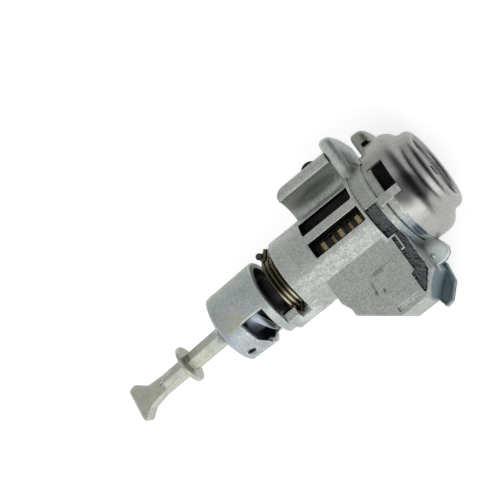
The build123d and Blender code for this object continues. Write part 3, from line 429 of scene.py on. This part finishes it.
# How each material slot of the record looks
LOOKS = {
    "zinc_casting": (zinc, dict(low=(0.28, 0.295, 0.27), high=(0.60, 0.62, 0.58), roughness=0.50,
                                stains_and_painted_light=HOUSING_STAINS_AND_PAINTED_LIGHT, edge=0.38)),
    "zinc_plug": (zinc, dict(low=(0.28, 0.29, 0.30), high=(0.42, 0.44, 0.46), roughness=0.4,
                             stains_and_painted_light=PLUG_SHADE_AND_TONE)),
    "zinc_face": (zinc, dict(low=(0.34, 0.35, 0.35), high=(0.50, 0.51, 0.51), roughness=0.35)),
    "zinc_lever": (zinc, dict(low=(0.28, 0.315, 0.325), high=(0.55, 0.585, 0.59), roughness=0.36,
                              stains_and_painted_light=LEVER_STAINS_AND_SHADE, edge=0.7, clouds=(0.92, 0.94, 0.90))),
    "stainless_cap": (steel, dict(color=(0.39, 0.385, 0.37), roughness=0.36, grain=1000,
                                  stretch=(8, 0.06, 0.06), stains_and_painted_light=CAP_STREAKS_AND_REFLECTIONS, contrast=0.08)),
    # black rubber; its liner in the cap's pocket is a dark sheet that stands as painted shade
    "black_rubber": (soft_stuff, dict(low=(0.003, 0.003, 0.003), high=(0.008, 0.008, 0.008),
                                      roughness=0.8, grain=1800, depth=0.00003)),
    "foam": (soft_stuff, dict(low=(0.012, 0.015, 0.018), high=(0.18, 0.19, 0.195),
                              roughness=0.95, grain=2600, depth=0.0001)),
    "steel_pin": (steel, dict(color=(0.07, 0.067, 0.06), roughness=0.4)),
    "shutter_steel": (steel, dict(color=(0.15, 0.15, 0.145), roughness=0.35, stretch=(1, 0.05, 1))),
    "spring_steel": (steel, dict(color=(0.07, 0.058, 0.035), roughness=0.22, stains_and_painted_light=SPRING_HIGHLIGHT)),
    "brass_wafer": (steel, dict(color=(0.36, 0.27, 0.12), roughness=0.4)),
    "wafer_spring_steel": (steel, dict(color=(0.4, 0.4, 0.4), roughness=0.3)),
}
MATERIALS = {slot: maker(slot, **look) for slot, (maker, look) in LOOKS.items()}


def dress(obj, mat):
    """Give an object one material."""
    obj.data.materials.clear()
    obj.data.materials.append(mat)


for part in frame["record"]["subparts"]:
    dress(frame["nodes"][part["node"]], MATERIALS[part["material_slot"]])


def new_piece(name, mesh, slot, node, body):
    """A piece that stands for a CAD node."""
    piece = add_object(name, mesh)
    dress(piece, MATERIALS[slot])
    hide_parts(node)
    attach(piece, body)
    return piece


def apply_modifiers(piece):
    """Turn the piece's modifiers into its mesh."""
    view = bpy.context.evaluated_depsgraph_get()
    mesh = bpy.data.meshes.new_from_object(piece.evaluated_get(view))
    piece.modifiers.clear()
    piece.data = mesh


def granular_foam():
    """The foam pad's solid, remeshed fine and roughened inwards."""
    mesh = frame["nodes"]["foam_pad"].data.copy()
    piece = new_piece("foam_strip", mesh, "foam", "foam_pad", "lock_body")
    remesh = piece.modifiers.new("remesh", "REMESH")
    remesh.mode = "VOXEL"
    remesh.voxel_size = FOAM_VOXEL
    apply_modifiers(piece)
    moves = []
    for vertex in piece.data.vertices:
        distances, _ = solid_noise.voronoi(vertex.co * FOAM_CELLS)
        moves.append(FOAM_SINK + FOAM_DIP * min(1.0, distances[0] ** 2 * 2))
    for vertex, move in zip(piece.data.vertices, moves):
        vertex.co -= vertex.normal * move
    piece.data.shade_smooth()


def bent(corners, radii, step):
    """Polyline of (x, r) corners with an arc in each bend, in steps of about step radians."""
    points = [corners[0]]
    for before, corner, after, radius in zip(corners, corners[1:], corners[2:], radii):
        before, corner, after = Vector(before), Vector(corner), Vector(after)
        enter, leave = (corner - before).normalized(), (after - corner).normalized()
        turn = enter.angle(leave)
        start = corner - enter * radius * tan(turn / 2)
        inward = (leave - enter * enter.dot(leave)).normalized()
        for i in range(int(turn / step) + 2):
            a = turn * i / (int(turn / step) + 1)
            points.append(tuple(start + radius * (sin(a) * enter + (1 - cos(a)) * inward)))
    return points + [corners[-1]]


def cap_shell():
    """The drawn cap with its soft bends: one sheet turned about the axis, with notch and tongue."""
    line = bent(CAP_LINE, CAP_BENDS, radians(CAP_BEND_STEP))
    line[1:1] = [(CAP_REAR_X, line[0][1]), (CAP_NOTCH_X, line[0][1])]
    angles = sorted({*range(0, 360, CAP_STEP), *CAP_NOTCH, *CAP_TONGUE})
    count = len(angles)
    points = [(x * MM, r * MM * cos(radians(a)), r * MM * sin(radians(a)))
              for x, r in line for a in angles]
    faces = []
    for row in range(len(line) - 1):
        for column in range(count):
            after = (column + 1) % count
            start = angles[column]
            if row == 0 and not CAP_TONGUE[0] <= start < CAP_TONGUE[1]:
                continue            # behind the rear edge there is only the tongue
            if row == 1 and CAP_NOTCH[0] <= start < CAP_NOTCH[1]:
                continue            # and the notch is cut into that edge
            low, high = row * count, (row + 1) * count
            faces.append((low + column, low + after, high + after, high + column))
    mesh = bpy.data.meshes.new("cap_shell")
    mesh.from_pydata(points, [], faces)
    piece = new_piece("cap_shell", mesh, "stainless_cap", "face_cap", "lock_body")
    sheet = piece.modifiers.new("sheet", "SOLIDIFY")
    sheet.thickness = CAP_SHEET * MM
    sheet.offset = 0.0
    apply_modifiers(piece)
    piece.data.shade_smooth()
    piece.data.set_sharp_from_angle(angle=radians(CAP_SHARP))


def floor():
    """White for the camera and in reflections, and it keeps the lock's shadow."""
    mesh = bpy.data.meshes.new("floor")
    corners = [(x * FLOOR_REACH, y * FLOOR_REACH, cad_box[0][2])
               for x, y in ((-1, -1), (1, -1), (1, 1), (-1, 1))]
    mesh.from_pydata(corners, [], [(0, 1, 2, 3)])
    obj = add_object("floor", mesh)
    mat, tree, shader = new_material("floor", 0.0, 0.9)
    shader.inputs["Base Color"].default_value = (*FLOOR_GREY, 1)
    shader.inputs["Specular IOR Level"].default_value = 0.0
    rays = make(tree, "LightPath").outputs
    seen = math(tree, "MAXIMUM", rays["Is Camera Ray"], rays["Is Glossy Ray"])
    seen = math(tree, "MAXIMUM", seen, rays["Is Transmission Ray"])
    glow = math(tree, "MULTIPLY", seen, FLOOR_GLOW)
    shader.inputs["Emission Color"].default_value = (1, 1, 1, 1)
    tree.links.new(glow, shader.inputs["Emission Strength"])
    dress(obj, mat)


def lamp(name, place_m, size, power):
    """Square area lamp that faces the lock; place and size in metres, power in watts."""
    light = bpy.data.lights.new(name, "AREA")
    light.size = size
    light.energy = power
    obj = add_object(name, light)
    obj.location = place_m
    aim = Vector((AIM_X, 0, 0)) - Vector(place_m)
    obj.rotation_euler = aim.to_track_quat("-Z", "Y").to_euler()


def studio():
    """Pale room, brighter on the block's side and dark beyond the cap."""
    world = bpy.data.worlds.new("studio")
    bpy.context.scene.world = world
    world.use_nodes = True
    tree = world.node_tree
    way = make(tree, "SeparateXYZ", {"Vector": make(tree, "TexCoord").outputs["Generated"]}).outputs
    backdrop = tree.nodes["Background"].inputs
    to_cap = fade(tree, way["X"], 0.1, 0.6)
    shade = ramp(tree, to_cap, [(0.0, ROOM_WHITE), (1.0, ROOM_DARK)])
    tree.links.new(shade, backdrop["Color"])
    level = fade(tree, way["Y"], -0.2, -0.8, ROOM_LEVEL, BLOCK_SIDE_LEVEL)
    tree.links.new(level, backdrop["Strength"])


def camera():
    """The photograph's view. back points from the lock to the camera."""
    back = Vector((tan(radians(LEAN_FORWARD)), -tan(radians(LEAN_SIDE)), 1)).normalized()
    level_up = (Vector((0, 1, 0)) - back * back.y).normalized()
    level_right = level_up.cross(back)
    roll = radians(ROLL)
    right = cos(roll) * level_right - sin(roll) * level_up
    up = sin(roll) * level_right + cos(roll) * level_up
    cam = bpy.data.cameras.new("camera")
    cam.lens = LENS
    cam.shift_x = SHIFT_X
    cam.shift_y = SHIFT_Y
    cam.clip_start = 0.01
    obj = add_object("camera", cam)
    turn = Matrix((right, up, back)).transposed().to_4x4()
    obj.matrix_world = Matrix.Translation(Vector((AIM_X, 0, 0)) + DISTANCE * back) @ turn
    bpy.context.scene.camera = obj


granular_foam()
cap_shell()
floor()
lamp("side", place_m=(-0.03, -0.5, 0.40), size=0.6, power=1.2)
studio()
bpy.context.scene.view_settings.view_transform = "Standard"
camera()
